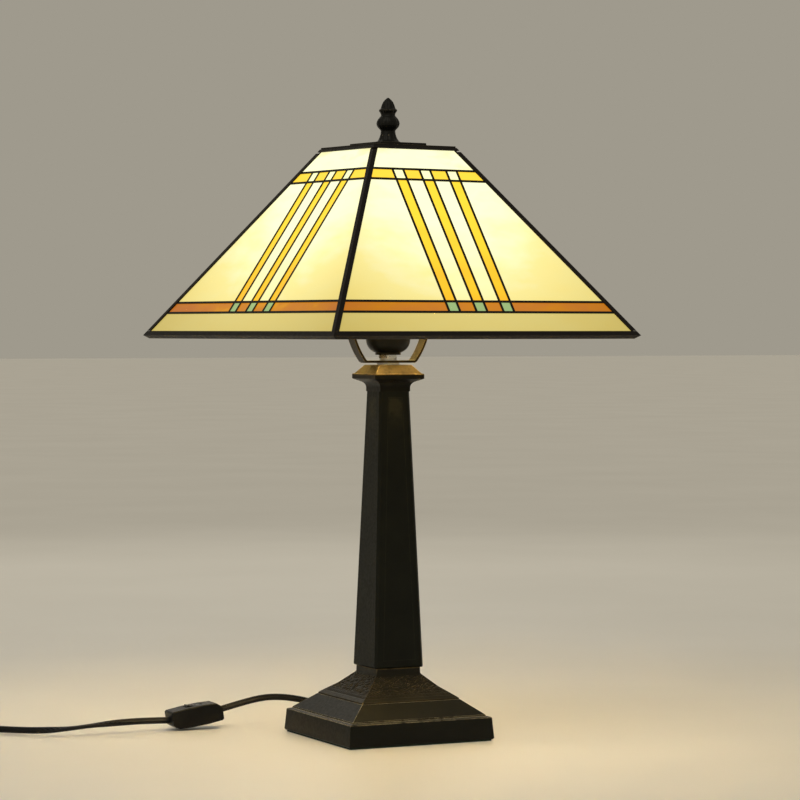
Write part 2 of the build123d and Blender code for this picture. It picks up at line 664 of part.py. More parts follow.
# corner came: a V flange over both sides' edges with a solid heart between them
fold = acos(-cos(SLOPE) ** 2) / 2
run_in = Vector(sin(fold), -cos(fold))
outward = Vector(cos(fold), sin(fold))
flange_tip = run_in * CORNER_FLANGE
section_half = [
    (flange_tip + outward * CORNER_PROUD), flange_tip, run_in * (HEART - 0.05),
]
ridge_foot = Vector(SHADE_BOTTOM, -SHADE_BOTTOM, SHADE_BOTTOM_Z)
ridge_run = Vector(SHADE_TOP, -SHADE_TOP, SHADE_TOP_Z) - ridge_foot
RIDGE_PLANE = Plane(origin=ridge_foot, x_dir=(-1, -1, 0), z_dir=ridge_run)
CORNER_LOW_Z, CORNER_HIGH_Z = 341.9, 491.3

with BuildPart() as corner_came:
    with BuildSketch(RIDGE_PLANE):
        right_side = [(point.X, point.Y) for point in section_half]
        left_side = [(-x, y) for x, y in reversed(right_side)]
        Polygon((0, CORNER_PROUD / sin(fold)), *right_side, (0, -(HEART - 0.05) / cos(fold)), *left_side,
                align=None)
    extrude(amount=ridge_run.length)
    split(bisect_by=Plane.XY.offset(CORNER_LOW_Z), keep=Keep.TOP)
    split(bisect_by=Plane.XY.offset(CORNER_HIGH_Z), keep=Keep.BOTTOM)

with BuildPart() as corner_cames:
    with PolarLocations(0, 4, start_angle=SHADE_TURN):
        add(corner_came.part)
save(corner_cames, "corner_cames")


def rim_length(body_low, body_high, flange_low, flange_high):
    """One mitred length of rim came, as a channel whose flanges lap the glass slab."""
    with BuildPart() as length:
        with BuildSketch(Plane.YZ):
            for low, high, inner, outer in (
                (body_low, body_high, -(WALL + CORNER_PROUD), CORNER_PROUD),
                (flange_low, flange_high, 0.0, CORNER_PROUD),
                (flange_low, flange_high, -(WALL + CORNER_PROUD), -WALL - 0.02),
            ):
                corners = [(low, inner), (high, inner), (high, outer), (low, outer)]
                Polygon(*[(-SHADE_BOTTOM + up * cos(SLOPE) - out * sin(SLOPE),
                           SHADE_BOTTOM_Z + up * sin(SLOPE) + out * cos(SLOPE)) for up, out in corners],
                        align=None)
        extrude(amount=SHADE_BOTTOM + 10, both=True)
        for hand in (-1, 1):
            split(bisect_by=Plane(origin=(0, -0.05, 0), z_dir=(hand, 1, 0)), keep=Keep.BOTTOM)
    return length


for node, bounds in (
    ("bottom_rim", (-RIM_DROP, ROWS["bottom_band"][0] - 0.05, -RIM_DROP, RIM_RISE)),
    ("top_rim", (slab_top + 0.05, 189.05, 186.4, 189.05)),
):
    rim = rim_length(*bounds)
    with BuildPart() as rim_frame:
        with PolarLocations(0, 4, start_angle=SHADE_TURN):
            add(rim.part)
    save(rim_frame, node)

# pressed cap over the top rim: flat plate, raised square step, vent holes and stud hole
CAP_PLATE, CAP_UNDER_Z = 41.0, 494.55
turned = Plane.XY.rotated((0, 0, SHADE_TURN))

with BuildPart() as shade_cap:
    with BuildSketch(turned.offset(CAP_UNDER_Z)):
        RectangleRounded(2 * CAP_PLATE, 2 * CAP_PLATE, 0.8)
    extrude(amount=CAP_SHEET)
    for half, low, high, mode in (
        (CAP_STEP, CAP_UNDER_Z, CAP_STEP_Z, Mode.ADD),
        (CAP_STEP - CAP_SHEET, CAP_UNDER_Z, CAP_STEP_Z - CAP_SHEET, Mode.SUBTRACT),
    ):
        for height, grow in ((low, 0.6), (high, 0.0)):
            with BuildSketch(turned.offset(height)):
                Rectangle(2 * (half + grow), 2 * (half + grow))
        loft(mode=mode)
    with BuildSketch(turned.offset(CAP_UNDER_Z)):
        Circle(STUD_R + 0.2)
        for quarter in range(4):
            vents = [Vector(29.0, y, 0).rotate(Axis.Z, 90 * quarter) for y in (-10.0, 10.0)]
            with Locations(*vents):
                Circle(2.5)
    extrude(amount=CAP_STEP_Z - CAP_UNDER_Z, mode=Mode.SUBTRACT)
save(shade_cap, "shade_cap")

# ---- finial ------------------------------------------------------------------------------------

INSERT_R = 4.2
TIP_R = 0.8

with BuildPart() as finial:
    with BuildSketch(Plane.XZ):
        with BuildLine():
            z = FINIAL_Z
            Line((0, z), (10.8, z))
            Line((10.8, z), (10.8, z + 0.8))
            ThreePointArc((10.8, z + 0.8), (7.4, z + 5.2), (6.0, z + 10.4))
            Line((6.0, z + 10.4), (6.4, z + 11.4))
            ThreePointArc((6.4, z + 11.4), (9.85, z + 16.8), (6.3, z + 22.6))
            Line((6.3, z + 22.6), (6.0, z + 23.7))
            ThreePointArc((6.0, z + 23.7), (6.7, z + 25.8), (7.85, z + 27.2))
            ThreePointArc((7.85, z + 27.2), (7.9, z + 28.2), (6.9, z + 28.8))
            Line((6.9, z + 28.8), (6.1, z + 29.6))
            ThreePointArc((6.1, z + 29.6), (4.4, z + 34.4), (TIP_R, z + FINIAL_HEIGHT - TIP_R))
            ThreePointArc((TIP_R, z + FINIAL_HEIGHT - TIP_R),
                          (TIP_R * sin(pi / 4), z + FINIAL_HEIGHT - TIP_R * (1 - cos(pi / 4))),
                          (0, z + FINIAL_HEIGHT))
            Line((0, z + FINIAL_HEIGHT), (0, z))
        make_face()
    revolve(axis=Axis.Z)
    with BuildSketch(Plane.XY.offset(FINIAL_Z)):
        Circle(INSERT_R + 0.05)
    extrude(amount=11.6, mode=Mode.SUBTRACT)
save(finial, "finial")

save(ring(FINIAL_Z + 0.2, FINIAL_Z + 11.3, INSERT_R, STUD_R + 0.06), "finial_insert")

# ---- in-line switch ----------------------------------------------------------------------------

heading = radians(SWITCH_HEADING)
tilt = radians(SWITCH_TILT)
switch_x = Vector(cos(heading) * cos(tilt), sin(heading) * cos(tilt), -sin(tilt))
switch_y = Vector(-sin(heading), cos(heading), 0)
SWITCH = Plane(origin=SWITCH_CENTRE, x_dir=switch_x, z_dir=switch_x.cross(switch_y))
SWITCH_SIDE = Plane(origin=SWITCH_CENTRE, x_dir=switch_x, z_dir=switch_y * -1)
# height and run of the chamfer at the corners that are cut back, and at the other two
CUT_CORNER, KEPT_CORNER = (4.6, 5.0), (2.0, 1.3)
half_long, half_high, half_wide = SWITCH_LONG / 2, SWITCH_HIGH / 2, SWITCH_WIDE / 2


def switch_outline(hand, inset):
    """Upper (hand 1) or lower (hand -1) half of the switch's side outline, inset mm inside it."""
    long_half, high_half = half_long - inset, half_high - inset
    outline = []
    for end in (1, -1):
        drop, run = CUT_CORNER if hand * end < 0 else KEPT_CORNER
        corner = [
            (end * long_half, 0),
            (end * long_half, hand * (high_half - drop + inset * 0.5)),
            (end * (long_half - run + inset * 0.5), hand * (high_half - 0.8)),
            (end * long_half * 0.3, hand * high_half),
        ]
        outline += corner if end == 1 else corner[::-1]
    Polygon(*outline, align=None)


PIN_HIGH, PIN_R = 4.6, 1.0
WINDOW_LONG, WINDOW_WIDE = 16.0, 8.4
switch_halves = {"switch_top_shell": 1, "switch_bottom_shell": -1}

for node, hand in switch_halves.items():
    with BuildPart() as shell:
        with BuildSketch(SWITCH_SIDE):
            switch_outline(hand, 0)
        extrude(amount=half_wide, both=True)
        if hand == 1:
            chamfer(shell.edges().filter_by(lambda edge: abs(SWITCH.to_local_coords(edge.center()).Z) > 2
                    and abs(SWITCH.to_local_coords(edge.center()).Y) > half_wide - 0.1), 0.8)
        with BuildSketch(SWITCH_SIDE):
            switch_outline(hand, SWITCH_WALL)
        extrude(amount=half_wide - SWITCH_WALL, both=True, mode=Mode.SUBTRACT)
        if hand == 1:
            with BuildSketch(SWITCH.offset(3.0)):
                Rectangle(WINDOW_LONG, WINDOW_WIDE)
            extrude(amount=8, mode=Mode.SUBTRACT)
            for ear in (1, -1):
                with BuildSketch(SWITCH_SIDE.offset(ear * (WINDOW_WIDE / 2 + 0.1))):
                    with Locations((0, PIN_HIGH + 0.6)):
                        Rectangle(5, 5.0)
                    with Locations((0, PIN_HIGH)):
                        Circle(PIN_R + 0.05, mode=Mode.SUBTRACT)
                extrude(amount=ear * 1.4)
        else:
            with BuildSketch(SWITCH.offset(-(half_high - 0.5))):
                with Locations((-15.5, 0), (15.5, 0)):
                    Circle(2.6)
            extrude(amount=half_high - 1.1)
            with BuildSketch(SWITCH.offset(-half_high)):
                with Locations((-15.5, 0), (15.5, 0)):
                    Circle(1.15)
            extrude(amount=half_high, mode=Mode.SUBTRACT)
            with BuildSketch(SWITCH.offset(-half_high)):
                with Locations((-15.5, 0), (15.5, 0)):
                    Circle(2.1)
            extrude(amount=1.6, mode=Mode.SUBTRACT)
    save(shell, node)

with BuildPart() as switch_screws:
    with BuildSketch(SWITCH.offset(-half_high + 0.7)):
        with Locations((-15.5, 0), (15.5, 0)):
            Circle(2.0)
    extrude(amount=0.85)
    with BuildSketch(SWITCH.offset(-half_high + 1.5)):
        with Locations((-15.5, 0), (15.5, 0)):
            Circle(1.1)
    extrude(amount=6.2)
save(switch_screws, "switch_screws")

ROCKER_LONG, ROCKER_WIDE = 14.0, 7.8
ROCKER = Plane(origin=SWITCH.from_local_coords(Vector(0, 0, PIN_HIGH)),
               x_dir=SWITCH.x_dir * cos(radians(ROCKER_TILT)) + SWITCH.z_dir * sin(radians(ROCKER_TILT)),
               z_dir=SWITCH.y_dir * -1)

with BuildPart() as switch_rocker:
    with BuildSketch(ROCKER):
        half = ROCKER_LONG / 2
        Polygon((-half, 4.7), (0, 4.0), (half, 4.7), (half, 1.2), (2.6, -1.2), (1.2, -3.4), (-1.2, -3.4),
                (-2.6, -1.2), (-half, 1.2), align=None)
    extrude(amount=ROCKER_WIDE / 2, both=True)
    with BuildSketch(ROCKER):
        Circle(PIN_R)
    extrude(amount=ROCKER_WIDE / 2 + 1.5, both=True)
save(switch_rocker, "switch_rocker")

with BuildPart() as switch_contacts:
    for hand in (-1, 1):
        with BuildSketch(SWITCH_SIDE):
            Polygon((hand * 11.0, -5.6), (hand * 3.0, -5.6), (hand * 1.6, -3.6), (hand * 2.0, -3.2),
                    (hand * 3.4, -5.0), (hand * 11.0, -5.0), align=None)
        extrude(amount=2.2, both=True)
save(switch_contacts, "switch_contacts")

# ---- lead, coil and plug -----------------------------------------------------------------------

switch_right = SWITCH.from_local_coords(Vector(-half_long, 0, 0))
switch_left = SWITCH.from_local_coords(Vector(half_long, 0, 0))


def on_coil(radius, angle, height):
    """Point of the coil at an angle in degrees about its centre."""
    turn = radians(angle)
    return (COIL_CENTRE[0] + radius * cos(turn), COIL_CENTRE[1] + radius * sin(turn), height)


TO_SWITCH = [
    (0, BUSHING_TIP_Y, CORD_Z), (0, 98, CORD_Z), (-8.3, 112, 13.4), (-22.8, 119.5, 18), (-42, 119.5, 22),
    (-62, 117, 23.5), (-84, 114, 20.6), tuple(switch_right),
]
TO_COIL = [
    tuple(switch_left), (-172, 114.8, 9.2), (-196, 113.6, 9.3), (-222, 111, 8.4), (-246, 112.5, 6.4),
    (-266, 126, 4.6), (-283, 147, 3.8), (-300, 170, 3.3), (-320, 190, 3.4),
    on_coil(COIL_OUTER, COIL_IN_ANGLE, COIL_FOOT_Z + CORD / 2),
]
save(tube(TO_SWITCH, CORD / 2, "cord_to_switch"), "cord_to_switch")
save(tube(TO_COIL, CORD / 2, "cord_to_coil"), "cord_to_coil")

with BuildPart() as cord_coil:
    with BuildSketch(Plane.XY.offset(COIL_FOOT_Z)):
        with Locations(COIL_CENTRE):
            Circle(COIL_OUTER + 2.4)
            Circle(COIL_INNER - 2.4, mode=Mode.SUBTRACT)
    extrude(amount=COIL_HIGH)
    fillet(cord_coil.edges().filter_by(GeomType.CIRCLE), 1.8)
save(cord_coil, "cord_coil")

TIE_ANGLE = 40.0
tie_middle = on_coil((COIL_OUTER + COIL_INNER) / 2, TIE_ANGLE, COIL_FOOT_Z + COIL_HIGH / 2)
tie_along = Vector(-sin(radians(TIE_ANGLE)), cos(radians(TIE_ANGLE)), 0)
tie_out = Vector(cos(radians(TIE_ANGLE)), sin(radians(TIE_ANGLE)), 0)
tie_plane = Plane(origin=tie_middle, x_dir=tie_out, z_dir=tie_along)
tie_inside = (COIL_OUTER - COIL_INNER + 6.2, COIL_HIGH + 0.3)

with BuildPart() as coil_tie:
    with BuildSketch(tie_plane):
        RectangleRounded(tie_inside[0] + 2 * TIE_THICK, tie_inside[1] + 2 * TIE_THICK, 1.6)
        Rectangle(*tie_inside, mode=Mode.SUBTRACT)
    extrude(amount=TIE_WIDE / 2, both=True)
save(coil_tie, "coil_tie")

tail_heading = radians(COIL_OUT_ANGLE - 90)
tail_start = Vector(*on_coil(36.9, COIL_OUT_ANGLE, COIL_FOOT_Z + COIL_HIGH - CORD / 2))
tail_run = Vector(cos(tail_heading), sin(tail_heading), 0)
tail_side = Vector(-sin(tail_heading), cos(tail_heading), 0)
plug_back = tail_start + tail_run * 50 + tail_side * 4 + Vector(0, 0, PLUG_THICK / 2 - tail_start.Z)
TAIL = [
    tuple(tail_start), tuple(tail_start + tail_run * 17 + Vector(0, 0, -0.4)),
    tuple(tail_start + tail_run * 34 + tail_side * 3.4 + Vector(0, 0, -2.2)), tuple(plug_back),
]
save(tube(TAIL, CORD / 2, "cord_tail"), "cord_tail")

plug_heading = (plug_back - Vector(*TAIL[-2]))
plug_heading = Vector(plug_heading.X, plug_heading.Y, 0).normalized()
PLUG = Plane(origin=plug_back, x_dir=plug_heading, z_dir=(0, 0, 1))

with BuildPart() as plug_body:
    for reach, wide, thick in ((0, 8.4, 8.0), (14, 15.0, 10.4), (22, PLUG_WIDE - 1, PLUG_THICK),
                               (PLUG_LONG, PLUG_WIDE, PLUG_THICK)):
        with BuildSketch(Plane(origin=PLUG.from_local_coords(Vector(reach, 0, 0)), x_dir=PLUG.y_dir,
                               z_dir=PLUG.x_dir)):
            RectangleRounded(wide, thick, min(wide, thick) * 0.3)
    loft(ruled=True)
save(plug_body, "plug_body")

with BuildPart() as plug_blades:
    with BuildSketch(Plane(origin=PLUG.from_local_coords(Vector(PLUG_LONG, 0, 0)), x_dir=PLUG.y_dir,
                           z_dir=PLUG.x_dir)):
        with Locations((-BLADE_PITCH / 2, 0), (BLADE_PITCH / 2, 0)):
            Rectangle(BLADE_THICK, BLADE_WIDE)
    extrude(amount=BLADE_LONG)
    tips = plug_blades.faces().filter_by(lambda face: abs(face.normal_at().dot(PLUG.x_dir)) > 0.99)
    chamfer(tips.sort_by(lambda face: PLUG.to_local_coords(face.center()).X)[-2:].edges()
            .filter_by(lambda edge: edge.length > 3), 0.5)
save(plug_blades, "plug_blades")
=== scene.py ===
from math import cos, exp, pi, radians, sin

import bpy
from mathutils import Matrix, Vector, noise


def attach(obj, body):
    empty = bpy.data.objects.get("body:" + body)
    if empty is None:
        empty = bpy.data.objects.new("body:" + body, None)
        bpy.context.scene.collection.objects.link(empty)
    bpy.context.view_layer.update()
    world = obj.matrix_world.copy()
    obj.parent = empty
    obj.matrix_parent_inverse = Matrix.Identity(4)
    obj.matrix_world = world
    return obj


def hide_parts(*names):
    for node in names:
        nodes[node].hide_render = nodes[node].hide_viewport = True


# Looks of the square leaded-glass table lamp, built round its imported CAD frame. Metres; +Z is up,
# the base's front face is towards -Y, and the lead lies behind and to the -X side.

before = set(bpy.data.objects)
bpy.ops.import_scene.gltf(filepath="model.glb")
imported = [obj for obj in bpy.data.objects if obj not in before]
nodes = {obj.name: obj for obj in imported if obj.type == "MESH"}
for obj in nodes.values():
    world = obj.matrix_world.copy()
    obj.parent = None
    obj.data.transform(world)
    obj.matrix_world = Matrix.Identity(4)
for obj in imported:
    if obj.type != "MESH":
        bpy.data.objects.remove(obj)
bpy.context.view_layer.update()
MM = 0.001


def linked(name, data):
    """New object in the scene."""
    made = bpy.data.objects.new(name, data)
    bpy.context.collection.objects.link(made)
    return made


# ---- camera ------------------------------------------------------------------------------------

CAMERA_PLACE = (-1.1018, -2.3073, 0.3444)
CAMERA_TURN = (radians(88.637), 0, radians(-25.751))
CAMERA_LENS = 136.68

camera = linked("camera", bpy.data.cameras.new("camera"))
camera.data.lens = CAMERA_LENS
camera.data.sensor_width = 36
camera.data.clip_end = 50
camera.location = CAMERA_PLACE
camera.rotation_euler = CAMERA_TURN
bpy.context.scene.camera = camera

# ---- material building -------------------------------------------------------------------------


class Material:
    """One material's node tree, with short calls for the nodes used here."""

    def __init__(self, name, roughness=0.5, metallic=0.0, **plain):
        self.made = bpy.data.materials.new(name)
        self.made.use_nodes = True
        self.tree = self.made.node_tree
        self.shader = self.tree.nodes["Principled BSDF"]
        self.place = self.add("ShaderNodeTexCoord").outputs["Object"]
        self.put(Roughness=roughness, Metallic=metallic)
        for socket, value in plain.items():
            self.shader.inputs[socket.replace("_", " ")].default_value = value

    def add(self, kind, inputs=None, **settings):
        node = self.tree.nodes.new(kind)
        for key, value in settings.items():
            setattr(node, key, value)
        for key, value in (inputs or {}).items():
            self.join(value, node.inputs[key])
        return node

    def join(self, value, socket):
        if isinstance(value, bpy.types.NodeSocket):
            self.tree.links.new(value, socket)
        else:
            socket.default_value = value

    def put(self, **values):
        for key, value in values.items():
            self.join(value, self.shader.inputs[key.replace("_", " ")])

    def math(self, operation, a, b=0.0):
        return self.add("ShaderNodeMath", {0: a, 1: b}, operation=operation).outputs[0]

    def noise(self, scale, detail=4.0, stretch=(1, 1, 1), turn=0.0):
        place = self.add("ShaderNodeMapping",
                         {"Vector": self.place, "Scale": stretch, "Rotation": (0, 0, turn)})
        return self.add("ShaderNodeTexNoise", {"Vector": place.outputs[0], "Scale": scale,
                                               "Detail": detail}).outputs["Fac"]

    def span(self, value, low, high, to_low=0.0, to_high=1.0):
        return self.add("ShaderNodeMapRange", {"Value": value, "From Min": low, "From Max": high,
                                               "To Min": to_low, "To Max": to_high}).outputs["Result"]

    def ramp(self, value, *stops):
        node = self.add("ShaderNodeValToRGB", {"Fac": value})
        band = node.color_ramp.elements
        while len(band) < len(stops):
            band.new(0.5)
        for element, (position, colour) in zip(band, stops):
            element.position = position
            element.color = (*colour, 1)
        return node.outputs["Color"]

    def mix(self, share, a, b, blend="MIX"):
        node = self.add("ShaderNodeMix", data_type="RGBA", blend_type=blend)
        self.join(share, node.inputs["Factor"])
        for value, socket in ((a, node.inputs[6]), (b, node.inputs[7])):
            self.join(value if isinstance(value, bpy.types.NodeSocket) else (*value, 1), socket)
        return node.outputs[2]

    def edges(self, radius):
        """1 on a hard edge, 0 on a flat: how far a rounded normal leans from the true one."""
        rounded = self.add("ShaderNodeBevel", {"Radius": radius}, samples=6).outputs[0]
        true = self.add("ShaderNodeNewGeometry").outputs["Normal"]
        lean = self.add("ShaderNodeVectorMath", {0: rounded, 1: true}, operation="DOT_PRODUCT")
        return self.span(lean.outputs["Value"], 0.995, 0.86)

    def peaks(self, low, high):
        """1 on the raised parts of a finely modelled mesh."""
        return self.span(self.add("ShaderNodeNewGeometry").outputs["Pointiness"], low, high)

    def bump(self, height, strength, distance):
        self.put(Normal=self.add("ShaderNodeBump", {"Height": height, "Strength": strength,
                                                    "Distance": distance}).outputs[0])


def patinated(name, dark, light, edge_and_highlight_colour, edge_width=0.0006, roughness=(0.36, 0.5), metallic=0.55,
              peaks=None, worn_and_lit_above=None, painted_glow=0.0):
    """Dark chemically aged metal: cloudy tone, fine cast grain and edges worn back to the metal. Given a
    height, that edge colour is kept to above it and can also be laid at a set share over the whole top there,
    which paints light onto the capital and a highlight onto the plinth.
    """
    made = Material(name, metallic=metallic, Specular_IOR_Level=0.15)
    cloud = made.noise(38, 6)
    tone = made.ramp(cloud, (0.2, dark), (0.85, light))
    edge_and_highlight_mask = made.edges(edge_width) if peaks is None else made.peaks(*peaks)
    # Painted light: above the height, the edge colour is kept to the top, and a floor share spreads it over
    # the whole top to stand in for light falling on it.
    if worn_and_lit_above is not None:
        height = made.add("ShaderNodeSeparateXYZ", {0: made.place}).outputs["Z"]
        top = made.span(height, worn_and_lit_above, worn_and_lit_above + 0.001)
        edge_and_highlight_mask = made.math("MULTIPLY", made.math("MAXIMUM", edge_and_highlight_mask, painted_glow), top)
    edge_and_highlight_mask = made.math("MULTIPLY", edge_and_highlight_mask, made.span(made.noise(140, 3), 0.3, 0.5))
    made.put(Base_Color=made.mix(edge_and_highlight_mask, tone, edge_and_highlight_colour),
             Roughness=made.span(made.noise(420, 3), 0.3, 0.7, *roughness))
    made.bump(made.noise(1500, 3), 0.18, 0.0002)
    return made.made


def plastic(name, colour, roughness, grain=2600, strength=0.12):
    """Moulded plastic with a faint spark-eroded grain and slight unevenness in its gloss."""
    made = Material(name, Specular_IOR_Level=0.18)
    lighter = tuple(min(1, value * 1.4 + 0.002) for value in colour)
    made.put(Base_Color=made.ramp(made.noise(90, 3), (0.3, colour), (0.8, lighter)),
             Roughness=made.span(made.noise(300, 3), 0.3, 0.7, roughness - 0.06, roughness + 0.08))
    made.bump(made.noise(grain, 2), strength, 0.0001)
    return made.made


def bright(name, colour, dull, roughness=0.25, metallic=1.0, stretch=(1, 1, 1)):
    """Plain turned or stamped metal, with fine tool marks along one direction."""
    made = Material(name, metallic=metallic)
    marks = made.noise(700, 3, stretch)
    made.put(Base_Color=made.ramp(marks, (0.3, dull), (0.7, colour)),
             Roughness=made.span(marks, 0.3, 0.7, roughness - 0.08, roughness + 0.12))
    made.bump(marks, 0.1, 0.0001)
    return made.made


BULB = (0.0, 0.0, 0.428)  # metres, the lit middle of the bulb
LIT_NEAR, LIT_FAR = 0.085, 0.225  # metres from it where the glass is whitest and deepest


def opal(name, body, near, middle, far, glow=1.0, streak=0.35):
    """Opalescent sheet glass with the lamp on behind it: wispy streaks, a soft ripple, and light that
    is whitest nearest the bulb."""
    made = Material(name, roughness=0.2, Specular_IOR_Level=0.3, Coat_Weight=0.1, Coat_Roughness=0.05)
    away = made.add("ShaderNodeVectorMath", {0: made.place, 1: BULB}, operation="DISTANCE").outputs["Value"]
    wisps = made.noise(26, 6, (1.0, 1.0, 2.6), turn=0.5)
    shift = made.span(wisps, 0.25, 0.75, -0.5, 0.5)
    share = made.math("ADD", made.span(away, LIT_NEAR, LIT_FAR), made.math("MULTIPLY", shift, streak))
    light = made.ramp(share, (0.0, near), (0.42, middle), (1.0, far))
    strength = made.math("MULTIPLY", made.span(away, LIT_NEAR, LIT_FAR, 1.12, 0.86),
                         made.span(wisps, 0.3, 0.7, 0.95, 1.04))
    cloudy = tuple(min(1, value * 1.1 + 0.04) for value in body)
    made.put(Base_Color=made.ramp(wisps, (0.3, body), (0.7, cloudy)), Emission_Color=light,
             Emission_Strength=made.math("MULTIPLY", strength, glow))
    made.bump(made.noise(75, 3), 0.25, 0.0012)
    return made.made


def lamp_glow(name, colour, strength):
    """Evenly glowing part of the bulb."""
    made = Material(name, roughness=0.3)
    made.put(Base_Color=(*colour, 1), Emission_Color=(*colour, 1), Emission_Strength=strength)
    return made.made


def wear_on(names, material):
    """Give CAD nodes their finish."""
    for name in names:
        slots = nodes[name].data.materials
        slots.clear()
        slots.append(material)


# ---- finishes ----------------------------------------------------------------------------------

BRASS_RUB = (0.34, 0.25, 0.12)
bronze = patinated("antique bronze", (0.004, 0.0048, 0.0032), (0.0095, 0.0105, 0.0065), (0.022, 0.021, 0.012),
                   edge_width=0.0006, roughness=(0.4, 0.54), metallic=0.2)
# The capital's gold above 304.5 mm is partly real rub on its edges and partly painted light: the bulb's glow
# falling on its top, laid on at a 0.16 share over the whole top. Its tones are a lighter copy of the bronze.
capital_bronze_painted_glow = patinated("capital bronze, painted glow", (0.007, 0.0065, 0.0045), (0.014, 0.012, 0.0075),
                           (0.46, 0.32, 0.11), edge_width=0.0007, worn_and_lit_above=0.3045, metallic=0.5, painted_glow=0.16)
# The pale line along the plinth's top edges above 18.4 mm is edge wear with a painted highlight: light
# catching the up-facing ledge, in a colour far paler than real rub.
plinth_bronze_painted_highlight = patinated("plinth bronze, painted highlight", (0.0045, 0.005, 0.0032), (0.010, 0.0095, 0.006),
                          (0.75, 0.64, 0.40), edge_width=0.0009, worn_and_lit_above=0.0184, metallic=0.12)
cast_bronze = patinated("cast bronze", (0.008, 0.0075, 0.005), (0.024, 0.0205, 0.012), BRASS_RUB,
                        peaks=(0.52, 0.60), metallic=0.3)
finial_bronze = patinated("finial bronze", (0.008, 0.008, 0.007), (0.022, 0.021, 0.017),
                          (0.11, 0.09, 0.055), peaks=(0.52, 0.60))
harp_bronze = patinated("harp bronze", (0.014, 0.011, 0.006), (0.040, 0.029, 0.013), (0.42, 0.29, 0.11),
                        edge_width=0.0004, roughness=(0.26, 0.4), metallic=0.75)
socket_bronze = patinated("socket bronze", (0.006, 0.006, 0.0045), (0.014, 0.013, 0.010), (0.12, 0.10, 0.06),
                          edge_width=0.0004, roughness=(0.3, 0.42), metallic=0.3)
lead = patinated("dark patina lead", (0.005, 0.0038, 0.0032), (0.014, 0.0105, 0.008), (0.05, 0.038, 0.026),
                 edge_width=0.0004, roughness=(0.36, 0.54), metallic=0.12)
cap_bronze = patinated("cap bronze", (0.012, 0.011, 0.009), (0.028, 0.025, 0.019), (0.14, 0.11, 0.07),
                       edge_width=0.0005)

flex = plastic("flex", (0.007, 0.007, 0.007), 0.42)
plug_plastic = plastic("plug plastic", (0.008, 0.008, 0.008), 0.4, grain=1800, strength=0.2)
switch_plastic = plastic("switch plastic", (0.0035, 0.0035, 0.003), 0.42)
rocker_plastic = plastic("rocker plastic", (0.011, 0.011, 0.0105), 0.28)
fibre = plastic("fibre board", (0.42, 0.33, 0.2), 0.8, grain=900, strength=0.4)
ceramic = plastic("ceramic", (0.78, 0.76, 0.7), 0.3, grain=400, strength=0.05)
black_glass = plastic("black glass", (0.01, 0.01, 0.012), 0.14, grain=300, strength=0.05)
felt = plastic("felt", (0.016, 0.03, 0.02), 0.95, grain=900, strength=1.0)

zinc = bright("zinc plate", (0.55, 0.55, 0.56), (0.38, 0.38, 0.4), 0.34, stretch=(1, 1, 6))
silver = bright("nickel", (0.72, 0.71, 0.68), (0.5, 0.49, 0.46), 0.24, stretch=(1, 1, 8))
brass = bright("brass", (0.72, 0.52, 0.22), (0.5, 0.34, 0.13), 0.26, stretch=(1, 1, 8))
cap_metal = bright("aluminium", (0.78, 0.78, 0.78), (0.6, 0.6, 0.6), 0.28, stretch=(1, 1, 8))
iron = bright("cast iron", (0.09, 0.088, 0.085), (0.05, 0.05, 0.05), 0.7, metallic=0.6)

# glass: body colour, then the lit colour near the bulb, midway and far from it
CREAM_BODY = (0.20, 0.17, 0.08)
WHITE_HOT = (1.0, 1.0, 0.62)
field_glass = opal("field glass", CREAM_BODY, WHITE_HOT, (0.86, 0.75, 0.27), (0.70, 0.54, 0.11))
band_glass = opal("band glass", CREAM_BODY, WHITE_HOT, (0.64, 0.53, 0.16), (0.54, 0.42, 0.09), streak=0.6)
stripe_glass = opal("cream stripe glass", CREAM_BODY, WHITE_HOT, (0.92, 0.84, 0.36), (0.70, 0.56, 0.14))
amber_glass = opal("amber stripe glass", (0.14, 0.07, 0.006), (1.0, 0.68, 0.03), (0.96, 0.50, 0.008),
                   (0.80, 0.28, 0.003), streak=0.5)
upper_glass = opal("upper border glass", (0.14, 0.08, 0.006), (0.98, 0.66, 0.04), (0.92, 0.52, 0.015),
                   (0.80, 0.36, 0.005), streak=0.5)
lower_glass = opal("lower border glass", (0.04, 0.012, 0.001), (0.86, 0.38, 0.003), (0.60, 0.205, 0.001),
                   (0.48, 0.13, 0.0005), streak=0.9)
jade_glass = opal("jade glass", (0.12, 0.18, 0.09), (0.46, 0.60, 0.22), (0.27, 0.40, 0.15),
                  (0.15, 0.27, 0.10))
pale_glass = opal("pale jade glass", (0.26, 0.29, 0.18), (0.96, 1.0, 0.50), (0.78, 0.88, 0.40),
                  (0.6, 0.7, 0.3))

